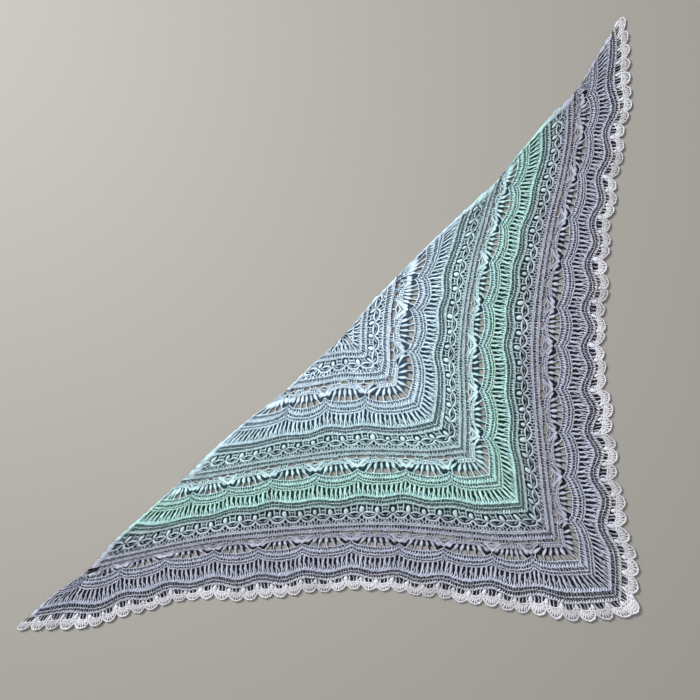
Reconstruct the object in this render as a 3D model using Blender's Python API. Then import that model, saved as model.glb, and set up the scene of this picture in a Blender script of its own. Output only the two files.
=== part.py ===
"""Triangular crochet shawl lying flat: two wings of rows that meet on a corner spine.

Metres, +Z up. X runs along the wingspan, the corner points to -Y, the underside is z = 0.
"""
import math

import bmesh
import bpy
import numpy as np

# Driving sizes. The height of a row is the length of the spine to it, over the square root of two
START_Y = 0.388           # y of the first stitch on the top edge, before the middle is put at the origin
MIDDLE = (0.0040, -0.0068)  # middle of the shawl's box, put at the origin
SEAM_HALF = 0.00016       # half of the space left between two neighbouring pieces
ROW_SEAM = 0.00024        # the same, counted in row height
REPEAT_FROM = {1: 0.100, 2: 0.270, 3: 0.452}
REPEAT_SCALE = {1: 170 / 182, 2: 1.0, 3: 1.0}
SCALLOPS = 41             # on each side

# Top edge: x from the spine, y on the left, y on the right
TOP_EDGE = np.array([
    (0.00, 0.388, 0.388),
    (0.10, 0.393, 0.395),
    (0.20, 0.397, 0.396),
    (0.30, 0.411, 0.395),
    (0.40, 0.420, 0.391),
    (0.50, 0.422, 0.386),
    (0.60, 0.428, 0.394),
    (0.70, 0.436, 0.402),
    (0.80, 0.433, 0.407),
    (0.90, 0.454, 0.435),
    (1.00, 0.460, 0.460),
])

# Where a row meets the top edge: row height, x on the left, x on the right
ROW_END = np.array([
    (0.000, 0.000, 0.000),
    (0.100, 0.185, 0.185),
    (0.196, 0.390, 0.405),
    (0.270, 0.500, 0.520),
    (0.380, 0.655, 0.690),
    (0.452, 0.790, 0.785),
    (0.564, 0.940, 0.940),
    (0.605, 1.000, 1.000),
])

# Inward bow of a row in millimetres at tenths of its length, one line for each measured row
BOW_LEFT = {
    0.000: (0, 0, 0, 0, 0, 0, 0, 0, 0, 0, 0),
    0.198: (0, -4, 0, 6, 13, 13, 8, 6, 5, 4, 0),
    0.379: (0, 4, 17, 30, 30, 28, 30, 24, 11, 1, 0),
    0.483: (0, 3, 21, 38, 51, 55, 52, 50, 42, 24, 0),
    0.561: (0, 6, 25, 42, 58, 56, 49, 45, 28, 0, -6),
    0.605: (0, -6, 19, 44, 64, 60, 47, 51, 20, -8, -4),
}
BOW_RIGHT = {
    0.000: (0, 0, 0, 0, 0, 0, 0, 0, 0, 0, 0),
    0.140: (0, -4, -2, 3, 5, 6, 7, 7, 4, 2, 0),
    0.198: (0, 1, 8, 18, 20, 23, 24, 24, 20, 14, 0),
    0.379: (0, 17, 31, 42, 53, 52, 45, 33, 15, 3, 0),
    0.561: (0, 16, 33, 46, 48, 44, 34, 16, -4, -18, -12),
    0.605: (0, 0, 24, 34, 48, 38, 28, 5, -18, -36, -14),
}

# Share of the row at which two fans meet, counted from the spine
FANS_LEFT = {
    1: (0.264, 0.530, 0.782, 1.040),
    2: (0.108, 0.238, 0.384, 0.512, 0.654, 0.786, 0.902, 1.020),
    3: (0.080, 0.154, 0.244, 0.328, 0.420, 0.516, 0.604, 0.694, 0.794, 0.885, 0.965, 1.050),
}
FANS_RIGHT = {
    1: (0.286, 0.570, 0.784, 1.040),
    2: (0.100, 0.236, 0.378, 0.504, 0.638, 0.762, 0.890, 1.010),
    3: (0.070, 0.152, 0.237, 0.322, 0.408, 0.488, 0.584, 0.676, 0.772, 0.868, 0.950, 1.040),
}
FAN_COLUMNS = (0.04, 0.24, 0.42, 0.58, 0.76, 0.96)
CORNER_COLUMNS = (0.0, 0.25, 0.50, 0.75, 0.95)

# Rows of one repeat: name, millimetres from its start at the middle of a fan,
# the same where two fans meet, thickness in millimetres
REPEAT_ROWS = (
    ("start", 0, 0, 2.2),
    ("eyelet inner", 2, 2, 2.8),
    ("eyelet outer", 9, 9, 2.8),
    ("fan base", 14, 21, 4.2),
    ("petal end", 32, 33, 3.8),
    ("gap end", 45, 35.5, 2.6),
    ("arc", 56, 38, 4.4),
    ("first groove", 63, 48, 2.4),
    ("second arc", 74, 61, 4.2),
    ("tall stitches", 89, 80, 2.0),
    ("ridge", 104, 97, 4.4),
    ("ridge groove", 111, 105, 2.4),
    ("second ridge", 119, 114, 4.0),
    ("bobbles", 132, 132, 4.6),
    ("small shells", 150, 150, 3.2),
    ("end", 182, 182, 2.2),
)
LAST_REPEAT_ROWS = REPEAT_ROWS[:12] + (("second ridge", 119, 114, 4.0), ("end", 124, 124, 2.4))

# Rows of the first part from the neck, by height: name, height, thickness
CENTRE_ROWS = (
    ("start", 0.0, 2.4),
    ("tall stitches", 0.018, 2.2),
    ("ridge", 0.037, 4.2),
    ("ridge groove", 0.043, 2.4),
    ("second ridge", 0.049, 4.0),
    ("bobbles", 0.062, 4.4),
    ("small shells", 0.077, 3.2),
    ("end", 0.100, 2.2),
)

# Rows of the edging: name, height between two scallops, height at a scallop, thickness
EDGING_ROWS = (
    ("start", 0.576, 0.576, 2.4),
    ("bobbles", 0.5795, 0.5795, 4.4),
    ("shell", 0.587, 0.587, 3.6),
    ("tip", 0.5975, 0.6065, 2.4),
)

# Colours along the gradient
COLOURS = {
    "centre": (0.66, 0.74, 0.82),
    "first_repeat": (0.60, 0.76, 0.78),
    "second_repeat": (0.50, 0.72, 0.66),
    "third_repeat": (0.46, 0.46, 0.56),
    "edging": (0.72, 0.72, 0.76),
}


def table_curve(x, xs, ys):
    """Smooth curve through the lines of a table."""
    x = np.asarray(x, float)
    xs = np.asarray(xs, float)
    ys = np.asarray(ys, float)
    gap = np.diff(xs)
    slope = np.diff(ys) / gap
    tangent = np.zeros_like(ys)
    tangent[1:-1] = (slope[:-1] * gap[1:] + slope[1:] * gap[:-1]) / (xs[2:] - xs[:-2])
    tangent[0] = slope[0]
    tangent[-1] = slope[-1]
    i = np.clip(np.searchsorted(xs, x, side="right") - 1, 0, len(xs) - 2)
    t = (x - xs[i]) / gap[i]
    start = (2 * t**3 - 3 * t**2 + 1) * ys[i] + (t**3 - 2 * t**2 + t) * gap[i] * tangent[i]
    end = (3 * t**2 - 2 * t**3) * ys[i + 1] + (t**3 - t**2) * gap[i] * tangent[i + 1]
    return start + end


def bow(side, height, share):
    """Inward bow of a row in metres, from the two measured rows that it lies between."""
    table = BOW_LEFT if side < 0 else BOW_RIGHT
    heights = np.array(sorted(table))
    tenths = np.linspace(0, 1, 11)
    curves = np.stack([table_curve(share, tenths, table[key]) for key in heights], -1) / 1000
    i = np.clip(np.searchsorted(heights, height, side="right") - 1, 0, len(heights) - 2)
    t = (height - heights[i]) / (heights[i + 1] - heights[i])
    inner = np.take_along_axis(curves, i[..., None], -1)[..., 0]
    outer = np.take_along_axis(curves, i[..., None] + 1, -1)[..., 0]
    return inner * (1 - t) + outer * t


def place(side, height, share):
    """Floor position of a point: side -1 left or +1 right, row height, share of the row."""
    height, share = np.broadcast_arrays(np.asarray(height, float), np.asarray(share, float))
    column = 1 if side < 0 else 2
    y0 = START_Y - math.sqrt(2) * height
    x_end = table_curve(height, ROW_END[:, 0], ROW_END[:, column])
    y_end = table_curve(x_end, TOP_EDGE[:, 0], TOP_EDGE[:, column])
    run = x_end
    rise = y_end - y0
    length = np.hypot(run, rise) + 1e-9
    inward = bow(side, height, share)
    x = run * share - rise / length * inward
    y = y0 + rise * share + run / length * inward
    return side * (x + SEAM_HALF) - MIDDLE[0], y - MIDDLE[1]


def fan_arc(cusps, share):
    """0 where two fans meet, 1 at the middle of a fan."""
    knots = np.array((-cusps[0],) + tuple(cusps))
    i = np.clip(np.searchsorted(knots, share, side="right") - 1, 0, len(knots) - 2)
    u = (share - knots[i]) / (knots[i + 1] - knots[i])
    round_part = np.sqrt(np.clip(1 - 0.96 * (2 * u - 1) ** 2, 0, 1))
    return (round_part - 0.2) / 0.8


def repeat_columns(cusps):
    """Shares of the columns of a repeat and, for each cell, its place in the fan."""
    shares = [cusps[0] * c for c in CORNER_COLUMNS]
    cells = ["corner 0", "corner 1", "corner 2", "corner 3", "bar"]
    for first, second in zip(cusps[:-1], cusps[1:]):
        for number, u in enumerate(FAN_COLUMNS):
            share = first + (second - first) * u
            if share > 0.985:
                break
            shares.append(share)
            cells.append("bar" if number == len(FAN_COLUMNS) - 1 else "fan %d" % number)
    shares.append(1.0)
    return np.array(shares), cells[:len(shares) - 1]


def seam_row(side, height, shares, inner_shares):
    """Points of a first row that follows the straight stretches of the piece inside it."""
    x, y = place(side, height, inner_shares)
    return np.interp(shares, inner_shares, x), np.interp(shares, inner_shares, y)


def columns_of(side, number):
    """Shares of the columns of a repeat; the centre has those of the first."""
    cusps = (FANS_LEFT if side < 0 else FANS_RIGHT)[max(number, 1)]
    return repeat_columns(cusps)[0]


def sheet_from_grid(name, points, holes, colour):
    """One closed piece: grid of top points, its open cells, and a flat underside at z = 0."""
    rows, columns = points.shape[:2]
    mesh = bpy.data.meshes.new(name)
    bm = bmesh.new()
    verts = [[bm.verts.new(points[i, j]) for j in range(columns)] for i in range(rows)]
    for i in range(rows - 1):
        for j in range(columns - 1):
            if (i, j) in holes:
                continue
            bm.faces.new((verts[i][j], verts[i][j + 1], verts[i + 1][j + 1], verts[i + 1][j]))
    bmesh.ops.remove_doubles(bm, verts=bm.verts, dist=0.0001)
    bmesh.ops.delete(bm, geom=[v for v in bm.verts if not v.link_faces], context="VERTS")
    bmesh.ops.recalc_face_normals(bm, faces=bm.faces)
    if sum(f.normal.z for f in bm.faces) < 0:
        bmesh.ops.reverse_faces(bm, faces=bm.faces)
    bmesh.ops.triangulate(bm, faces=[f for f in bm.faces if len(f.verts) > 4])
    top = list(bm.faces)
    made = bmesh.ops.extrude_face_region(bm, geom=top, use_keep_orig=True)
    under = [g for g in made["geom"] if isinstance(g, bmesh.types.BMFace)]
    for vert in {v for f in under for v in f.verts}:
        vert.co.z = 0.0
    bmesh.ops.reverse_faces(bm, faces=under)
    bmesh.ops.recalc_face_normals(bm, faces=bm.faces)
    bm.normal_update()
    flat = [f for f in bm.faces if f.normal.z < -0.999 and all(abs(v.co.z) < 1e-7 for v in f.verts)]
    edges = list({e for f in flat for e in f.edges})
    points_under = list({v for f in flat for v in f.verts})
    bmesh.ops.dissolve_limit(bm, angle_limit=0.001, use_dissolve_boundaries=False,
                             verts=points_under, edges=edges, delimit={"NORMAL"})
    bmesh.ops.triangulate(bm, faces=bm.faces, quad_method="SHORT_EDGE", ngon_method="BEAUTY")
    bm.to_mesh(mesh)
    bm.free()
    piece = bpy.data.objects.new(name, mesh)
    bpy.context.scene.collection.objects.link(piece)
    material = bpy.data.materials.new("wool_" + colour)
    material.use_nodes = True
    shader = material.node_tree.nodes["Principled BSDF"]
    shader.inputs["Base Color"].default_value = COLOURS[colour] + (1.0,)
    shader.inputs["Roughness"].default_value = 0.9
    mesh.materials.append(material)
    return piece


def build_centre(side, name):
    """The small first part at the neck: tall stitches, ridges, bobbles and small shells."""
    shares = columns_of(side, 0)
    heights = np.array([row[1] for row in CENTRE_ROWS])
    heights[-1] -= ROW_SEAM
    thick = np.array([row[2] for row in CENTRE_ROWS]) / 1000
    x, y = place(side, heights[:, None], shares[None, :])
    z = np.broadcast_to(thick[:, None], x.shape)
    return sheet_from_grid(name, np.stack((x, y, z), -1), set(), "centre")


def open_cells(names, shares, cells):
    """Cells of a repeat that are cut through: eyelets over the fans, gaps between the petals."""
    eyelets = names.index("eyelet inner")
    petals = names.index("petal end")
    holes = set()
    for j, cell in enumerate(cells):
        if shares[j + 1] > 0.97:
            continue
        if cell in ("corner 0", "fan 0", "fan 2", "fan 4"):
            holes.add((eyelets, j))
        if cell in ("corner 1", "corner 3", "fan 1", "fan 3"):
            holes.add((petals, j))
    return holes


def build_repeat(side, number, name, colour):
    """One repeat: eyelets, fans, two arcs, tall stitches, two ridges, bobbles, small shells."""
    cusps = (FANS_LEFT if side < 0 else FANS_RIGHT)[number]
    table = LAST_REPEAT_ROWS if number == 3 else REPEAT_ROWS
    shares, cells = repeat_columns(cusps)
    arc = fan_arc(cusps, shares)
    scale = REPEAT_SCALE[number] / 1000
    names = [row[0] for row in table]
    middle = np.array([row[1] for row in table])[:, None]
    meeting = np.array([row[2] for row in table])[:, None]
    heights = REPEAT_FROM[number] + scale * (middle * arc[None, :] + meeting * (1 - arc[None, :]))
    heights[0] += ROW_SEAM
    heights[-1] -= ROW_SEAM
    x, y = place(side, heights, shares[None, :])
    x[0], y[0] = seam_row(side, heights[0, 0], shares, columns_of(side, number - 1))
    thick = np.array([row[3] for row in table])[:, None] / 1000
    z = np.broadcast_to(thick, x.shape).copy()
    holes = open_cells(names, shares, cells)
    return sheet_from_grid(name, np.stack((x, y, z), -1), holes, colour)


def build_edging(side, name):
    """Bobbles and rounded shells along the outer edge, one opening under each shell."""
    count = SCALLOPS * 3 + 1
    shares = np.linspace(0, 1, count + 1)
    between = np.array([row[1] for row in EDGING_ROWS])[:, None]
    at_shell = np.array([row[2] for row in EDGING_ROWS])[:, None]
    notch = np.where(np.arange(count + 1) % 3 == 1, 1.0, 0.0)[None, :]
    heights = between * notch + at_shell * (1 - notch)
    heights[0] += ROW_SEAM
    x, y = place(side, heights, shares[None, :])
    x[0], y[0] = seam_row(side, heights[0, 0], shares, columns_of(side, 3))
    thick = np.array([row[3] for row in EDGING_ROWS])[:, None] / 1000
    z = np.broadcast_to(thick, x.shape).copy()
    holes = {(1, 3 * n + 2) for n in range(SCALLOPS - 1)}
    return sheet_from_grid(name, np.stack((x, y, z), -1), holes, "edging")


def main():
    for old in list(bpy.data.objects):
        bpy.data.objects.remove(old, do_unlink=True)
    for side, wing in ((-1, "left"), (1, "right")):
        build_centre(side, "centre_" + wing)
        build_repeat(side, 1, "first_repeat_" + wing, "first_repeat")
        build_repeat(side, 2, "second_repeat_" + wing, "second_repeat")
        build_repeat(side, 3, "third_repeat_" + wing, "third_repeat")
        build_edging(side, "edging_" + wing)


if __name__ == "__main__":
    main()
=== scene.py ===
"""Looks of the crochet shawl: yarn stitches laid along its rows on a thin ground sheet coloured as painted
shade, which stands for the shade in the gaps between the stitches.
"""
import math

import bpy
import numpy as np
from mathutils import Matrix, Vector


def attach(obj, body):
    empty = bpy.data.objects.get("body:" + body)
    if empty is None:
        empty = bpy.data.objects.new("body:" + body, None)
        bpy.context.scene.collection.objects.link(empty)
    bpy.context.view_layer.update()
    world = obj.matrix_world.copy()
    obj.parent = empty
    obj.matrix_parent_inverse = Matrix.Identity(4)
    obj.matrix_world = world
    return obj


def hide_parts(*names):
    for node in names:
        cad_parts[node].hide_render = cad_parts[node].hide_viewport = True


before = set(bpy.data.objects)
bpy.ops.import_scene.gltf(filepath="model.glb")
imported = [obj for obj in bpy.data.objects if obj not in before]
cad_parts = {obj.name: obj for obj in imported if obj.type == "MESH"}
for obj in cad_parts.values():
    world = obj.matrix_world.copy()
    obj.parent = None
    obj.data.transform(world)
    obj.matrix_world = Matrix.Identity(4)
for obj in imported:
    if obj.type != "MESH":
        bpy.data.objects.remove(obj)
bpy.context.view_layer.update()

bl_info = {
    "name": "Crochet Shawl",
    "version": (1, 0, 0),
    "blender": (4, 5, 0),
    "location": "View3D > Sidebar > Shawl",
    "description": "Builds the stitches, the ground cloth and the stage of a triangular crochet shawl",
    "category": "Add Mesh",
}

# Sizes of the shawl, the same as those of its solids. A row's height is its spine length over root two
START_Y = 0.388
MIDDLE = (0.0040, -0.0068)
SEAM_HALF = 0.00016
FULL_HEIGHT = 0.605
REPEAT_FROM = {1: 0.100, 2: 0.270, 3: 0.452}
REPEAT_SCALE = {1: 170 / 182, 2: 1.0, 3: 1.0}

# Mean row height and wave of the edging's inner and outer edge on each wing
EDGE_BASE = {-1: (0.5690, 0.0050), 1: (0.5705, 0.0075)}
EDGE_TIP = {-1: (0.6045, 0.0025), 1: (0.6040, 0.0060)}

# How straight the sides of the arcs are on each wing, from round to pointed
POINTED = {-1: 0.05, 1: 0.25}

# Part of the half fan beside the spine along which its arcs run straight, and how much lower its arcs
# and its soft waves lie at the spine, as a part of their height
CORNER_FLAT = 0.55
CORNER_ARC_DROP = 0.1
CORNER_WAVE_DROP = 0.45

# Third repeat in millimetres: its depth, how far its rows lie inwards on the left, how much deeper the
# soft wave of its last rows is on each wing, and the part of that at the middle of a fan
THIRD_DEPTH = 125
THIRD_INWARDS = {-1: 6, 1: 0}
DEEPER_WAVE = {-1: 1.0, 1: 5.5}
DEEPER_AT_MIDDLE = 0.75

# Lowest, reference and highest row height of each band: centre, three repeats, edging
BAND_HEIGHTS = {
    0: (0.000, 0.060, 0.104), 1: (0.098, 0.138, 0.274), 2: (0.266, 0.312, 0.456),
    3: (0.448, 0.492, 0.580), 4: (0.448, 0.492, 0.614),
}

# Size of a band's table of shares, rows and steps along each row, and points for measuring a row
TABLE_ROWS = 9
TABLE_STEPS = 240
ROW_POINTS = 1500

# Shares of the rows up to which petals, whole fans and the lace where two fans meet are laid, and from
# which on the dense stitches at the end of the row are
PETALS_TO = 0.985
FANS_TO = 0.97
MEETINGS_TO = 0.96
ROW_END_FROM = 0.968

# Empty border of the flat layout of each piece for its baked colours, as a part of the layout
UV_BORDER = 0.01

# Top edge: x from the spine, y on the left, y on the right
TOP_EDGE = np.array([
    (0.00, 0.388, 0.388), (0.10, 0.393, 0.395), (0.20, 0.397, 0.396), (0.30, 0.411, 0.395),
    (0.40, 0.420, 0.391), (0.50, 0.422, 0.386), (0.60, 0.428, 0.394), (0.70, 0.436, 0.402),
    (0.80, 0.433, 0.407), (0.90, 0.454, 0.435), (1.00, 0.460, 0.460),
])

# Where a row meets the top edge: row height, x on the left, x on the right
ROW_END = np.array([
    (0.000, 0.000, 0.000), (0.100, 0.185, 0.185), (0.196, 0.390, 0.405), (0.270, 0.500, 0.520),
    (0.380, 0.655, 0.690), (0.452, 0.790, 0.785), (0.564, 0.940, 0.940), (0.605, 1.000, 1.000),
])

# Inward bow of a row in millimetres at tenths of its length
BOW = {
    -1: {
        0.000: (0, 0, 0, 0, 0, 0, 0, 0, 0, 0, 0),
        0.198: (0, -4, 0, 6, 13, 13, 8, 6, 5, 4, 0),
        0.379: (0, 4, 17, 30, 30, 28, 30, 24, 11, 1, 0),
        0.483: (0, 3, 21, 38, 51, 55, 52, 50, 42, 24, 0),
        0.561: (0, 6, 25, 42, 58, 56, 49, 45, 28, 0, -6),
        0.605: (0, -6, 19, 44, 64, 60, 47, 51, 20, -8, -4),
    },
    1: {
        0.000: (0, 0, 0, 0, 0, 0, 0, 0, 0, 0, 0),
        0.140: (0, -4, -2, 3, 5, 6, 7, 7, 4, 2, 0),
        0.198: (0, 1, 8, 18, 20, 23, 24, 24, 20, 14, 0),
        0.379: (0, 17, 31, 42, 53, 52, 45, 33, 15, 3, 0),
        0.561: (0, 16, 33, 46, 48, 44, 34, 16, -4, -18, -12),
        0.605: (0, 0, 24, 34, 48, 38, 28, 5, -18, -36, -14),
    },
}

# Share of the row at which two fans meet, counted from the spine
FANS = {
    -1: {
        1: (0.264, 0.530, 0.782, 1.040),
        2: (0.108, 0.238, 0.384, 0.512, 0.654, 0.786, 0.902, 1.020),
        3: (0.080, 0.154, 0.244, 0.328, 0.420, 0.516, 0.604, 0.694, 0.794, 0.885, 0.965, 1.050),
    },
    1: {
        1: (0.286, 0.570, 0.784, 1.040),
        2: (0.100, 0.236, 0.378, 0.504, 0.638, 0.762, 0.890, 1.010),
        3: (0.070, 0.152, 0.237, 0.322, 0.408, 0.488, 0.584, 0.676, 0.772, 0.868, 0.950, 1.040),
    },
}

WINGS = ((-1, "left"), (1, "right"))
random_numbers = np.random.default_rng(11)


def linear(red, green, blue):
    """Scene colour of a screen colour given from 0 to 255."""
    return tuple(
        (c / 12.92 if c <= 0.04045 else ((c + 0.055) / 1.055) ** 2.4)
        for c in (red / 255, green / 255, blue / 255)
    )


# Rows on the floor


def table_curve(x, xs, ys):
    """Smooth curve through the lines of a table."""
    x = np.asarray(x, float)
    xs = np.asarray(xs, float)
    ys = np.asarray(ys, float)
    gap = np.diff(xs)
    slope = np.diff(ys) / gap
    tangent = np.zeros_like(ys)
    tangent[1:-1] = (slope[:-1] * gap[1:] + slope[1:] * gap[:-1]) / (xs[2:] - xs[:-2])
    tangent[0] = slope[0]
    tangent[-1] = slope[-1]
    i = np.clip(np.searchsorted(xs, x, side="right") - 1, 0, len(xs) - 2)
    t = (x - xs[i]) / gap[i]
    start = (2 * t**3 - 3 * t**2 + 1) * ys[i] + (t**3 - 2 * t**2 + t) * gap[i] * tangent[i]
    end = (3 * t**2 - 2 * t**3) * ys[i + 1] + (t**3 - t**2) * gap[i] * tangent[i + 1]
    return start + end


def bow(side, height, share):
    """Inward bow of a row in metres, from the two measured rows that it lies between."""
    table = BOW[side]
    heights = np.array(sorted(table))
    tenths = np.linspace(0, 1, 11)
    curves = np.stack([table_curve(share, tenths, table[key]) for key in heights], -1) / 1000
    i = np.clip(np.searchsorted(heights, height, side="right") - 1, 0, len(heights) - 2)
    t = (height - heights[i]) / (heights[i + 1] - heights[i])
    inner = np.take_along_axis(curves, i[..., None], -1)[..., 0]
    outer = np.take_along_axis(curves, i[..., None] + 1, -1)[..., 0]
    return inner * (1 - t) + outer * t


def place(side, height, share):
    """Floor position of a point: side -1 left or +1 right, row height, share of the row."""
    height, share = np.broadcast_arrays(np.asarray(height, float), np.asarray(share, float))
    column = 1 if side < 0 else 2
    y0 = START_Y - math.sqrt(2) * height
    run = table_curve(height, ROW_END[:, 0], ROW_END[:, column])
    rise = table_curve(run, TOP_EDGE[:, 0], TOP_EDGE[:, column]) - y0
    length = np.hypot(run, rise) + 1e-9
    inward = bow(side, height, share)
    x = run * share - rise / length * inward
    y = y0 + rise * share + run / length * inward
    return side * (x + SEAM_HALF) - MIDDLE[0], y - MIDDLE[1]


def lift(x, y):
    """Small waves of the cloth above the floor, in metres."""
    wave = np.sin(9.0 * x + 5.0 * y + 0.6) * np.sin(6.0 * y - 4.0 * x + 1.1)
    fine = np.sin(31.0 * x - 17.0 * y) * np.sin(23.0 * y + 11.0 * x + 0.4)
    return 0.0009 * (1 + wave) + 0.0006 * (1 + fine)


def uneven(x, y):
    """Small sideways shifts of hand-made stitches, in metres."""
    dx = np.sin(437 * x + 261 * y) + np.sin(193 * y - 318 * x + 2.0)
    dy = np.sin(389 * y - 277 * x + 1.0) + np.sin(221 * x + 342 * y + 3.0)
    return 0.0005 * dx, 0.0005 * dy


def in_fans(cusps, share):
    """Place of a share in its fan, from 0 to 1."""
    knots = np.array((-cusps[0],) + tuple(cusps))
    i = np.clip(np.searchsorted(knots, share, side="right") - 1, 0, len(knots) - 2)
    return (share - knots[i]) / (knots[i + 1] - knots[i])


def arc_places(cusps, share):
    """Place in a fan for its arcs, and how near the spine; the corner's fan is flat along its middle."""
    beside = share / cusps[0]
    bent = np.clip((beside - CORNER_FLAT) / (1 - CORNER_FLAT), 0, 1)
    u = np.where(beside < 1, 0.5 + 0.5 * bent, in_fans(cusps, share))
    return u, np.clip(1 - beside / CORNER_FLAT, 0, 1) ** 2


def fan_arc(cusps, share, pointed):
    """0 where two fans meet, 1 at the middle of a fan, rising steeply from the meeting."""
    u, corner = arc_places(cusps, share)
    rounded = np.sqrt(np.clip(1 - (2 * u - 1) ** 2, 0, 1))
    straight = 1 - np.abs(2 * u - 1)
    return rounded * (1 - pointed) + straight * pointed - CORNER_ARC_DROP * corner


def soft_arc(cusps, share):
    """The same as fan_arc, but as an even wave."""
    u, corner = arc_places(cusps, share)
    return 0.5 - 0.5 * np.cos(2 * math.pi * u) - CORNER_WAVE_DROP * corner


def along(x, y):
    """Length run along a line of points."""
    return np.concatenate(([0], np.cumsum(np.hypot(np.diff(x), np.diff(y)))))


def square_shares(side, near_height, far_height):
    """Shares of a far row that lie square to even shares of a near row, fading to even shares within
    some centimetres of both ends."""
    share = np.linspace(0, 1, TABLE_STEPS + 1)
    fine = np.linspace(0, 1, 10 * TABLE_STEPS + 1)
    x, y = place(side, near_height, share)
    far_x, far_y = place(side, far_height, fine)
    run, far_run = along(x, y), along(far_x, far_y)
    away = (x[:, None] - far_x[None, :]) ** 2 + (y[:, None] - far_y[None, :]) ** 2
    foot = far_run[away.argmin(1)]
    fade = 0.055
    held = np.clip(np.exp(-run / fade) + np.exp(-(run[-1] - run) / fade), 0, 1)
    foot = foot * (1 - held) + share * far_run[-1] * held
    half = 12
    window = np.ones(2 * half + 1) / (2 * half + 1)
    before, after = 2 * foot[0] - foot[half:0:-1], 2 * foot[-1] - foot[-2:-half - 2:-1]
    foot = np.convolve(np.concatenate((before, foot, after)), window, mode="valid")
    foot = np.maximum.accumulate(np.clip(foot, 0, far_run[-1]))
    foot[0], foot[-1] = 0, far_run[-1]
    return np.interp(foot, far_run, fine)


class Band:
    """One stretch of rows on one wing, in which the stitches stand square to their rows."""

    def __init__(self, side, number):
        self.side = side
        self.number = number
        low, reference, high = BAND_HEIGHTS[number]
        self.heights = np.linspace(low, high, TABLE_ROWS)
        self.shares = np.stack([square_shares(side, reference, height) for height in self.heights])
        x, y = place(side, reference, np.linspace(0, 1, 200))
        self.length = along(x, y)[-1]
        self.cusps = FANS[side].get(min(max(number, 1), 3))

    def place(self, height, share):
        """Floor position of a point of the band."""
        height, share = np.broadcast_arrays(np.asarray(height, float), np.asarray(share, float))
        low, high = self.heights[0], self.heights[-1]
        row = np.clip((height - low) / (high - low), 0, 1) * (TABLE_ROWS - 1)
        i = np.clip(row.astype(int), 0, TABLE_ROWS - 2)
        t = row - i
        column = np.clip(share, 0, 1) * TABLE_STEPS
        j = np.clip(column.astype(int), 0, TABLE_STEPS - 1)
        c = column - j
        inner, outer = (self.shares[k, j] * (1 - c) + self.shares[k, j + 1] * c for k in (i, i + 1))
        return place(self.side, height, inner * (1 - t) + outer * t + (share - np.clip(share, 0, 1)))

    def line(self, middle, meeting, soft=False):
        """Row heights in millimetres from the start of the repeat, at the middle of a fan and where
        two fans meet."""
        start = REPEAT_FROM[self.number]
        scale = REPEAT_SCALE[self.number] / 1000
        if self.number == 3:
            inwards = THIRD_INWARDS[self.side]
            middle, meeting = (
                depth - inwards * math.sin(math.pi * min(max(depth, 0), THIRD_DEPTH) / THIRD_DEPTH)
                for depth in (middle, meeting))
            if soft:
                deeper = DEEPER_WAVE[self.side]
                middle, meeting = middle + deeper * DEEPER_AT_MIDDLE, meeting - deeper

        def height(share):
            arc = (soft_arc(self.cusps, share) if soft
                   else fan_arc(self.cusps, share, POINTED[self.side]))
            return start + scale * (middle * arc + meeting * (1 - arc))

        return height

    def waved(self, row_height, wave=0.0):
        """A row of one height, with the soft wave of the last fans."""
        return lambda share: row_height + wave * (2 * soft_arc(self.cusps, share) - 1)

    def points(self, line, share):
        """x, y, share and row height of the points of a row."""
        height = line(share)
        return np.stack((*self.place(height, share), share, height), -1)

    def even_shares(self, line, pitch=None, count=None):
        """Shares that cut a row into stitches of equal width, given their width or their number."""
        share = np.linspace(0, 1, ROW_POINTS)
        run = along(*self.points(line, share)[:, :2].T)
        count = count or max(int(round(run[-1] / pitch)), 2)
        return np.interp(np.linspace(0, run[-1], count + 1), run, share)

    def cells(self, inner, outer, shares, far_shares=None):
        """Cells between two rows, one for each stitch: the points of their four corners."""
        near = self.points(inner, shares)
        far = self.points(outer, shares if far_shares is None else far_shares)
        return np.stack((near[:-1], near[1:], far[1:], far[:-1]), 1)

    def narrow_cells(self, near, far, width):
        """Cells of one width in metres, each along its own line from a near to a far point."""
        dx, dy = (far - near)[:, :2].T
        length = np.hypot(dx, dy) + 1e-9
        wx, wy = -self.side * dy / length * width / 2, self.side * dx / length * width / 2
        aside = np.stack((wx, wy, 0 * wx, 0 * wx), -1)
        return np.stack((near - aside, near + aside, far + aside, far - aside), 1)


# Stitch shapes, each modelled once


def select_only(*pieces):
    """Selects these objects alone, in object mode, and makes the first one active."""
    if bpy.context.object and bpy.context.object.mode != "OBJECT":
        bpy.ops.object.mode_set(mode="OBJECT")
    bpy.ops.object.select_all(action="DESELECT")
    for piece in pieces:
        piece.select_set(True)
    if pieces:
        bpy.context.view_layer.objects.active = pieces[0]


def add_object(name, data):
    """A new object at the origin, linked to the scene."""
    piece = bpy.data.objects.new(name, data)
    bpy.context.scene.collection.objects.link(piece)
    return piece


def strands(paths):
    """Yarn strands in millimetres: each path is a list of (x, y, z, radius)."""
    curve = bpy.data.curves.new("strand", "CURVE")
    curve.dimensions = "3D"
    curve.fill_mode = "FULL"
    curve.bevel_depth = 0.001
    curve.bevel_resolution = 0
    curve.use_fill_caps = True
    for path in paths:
        spline = curve.splines.new("POLY")
        spline.points.add(len(path) - 1)
        for point, (x, y, z, radius) in zip(spline.points, path):
            point.co = (x / 1000, y / 1000, z / 1000, 1)
            point.radius = radius
    select_only(add_object("strand", curve))
    bpy.ops.object.convert(target="MESH")
    return bpy.context.object


def puff(centre, size):
    """A fat oval of yarn, in millimetres."""
    select_only()
    bpy.ops.mesh.primitive_uv_sphere_add(
        segments=8, ring_count=6, radius=1, location=[c / 1000 for c in centre],
        rotation=(math.pi / 2, 0, 0), scale=(size[0] / 2000, size[2] / 2000, size[1] / 2000))
    bpy.ops.object.transform_apply(location=True, rotation=True, scale=True)
    return bpy.context.object


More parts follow.
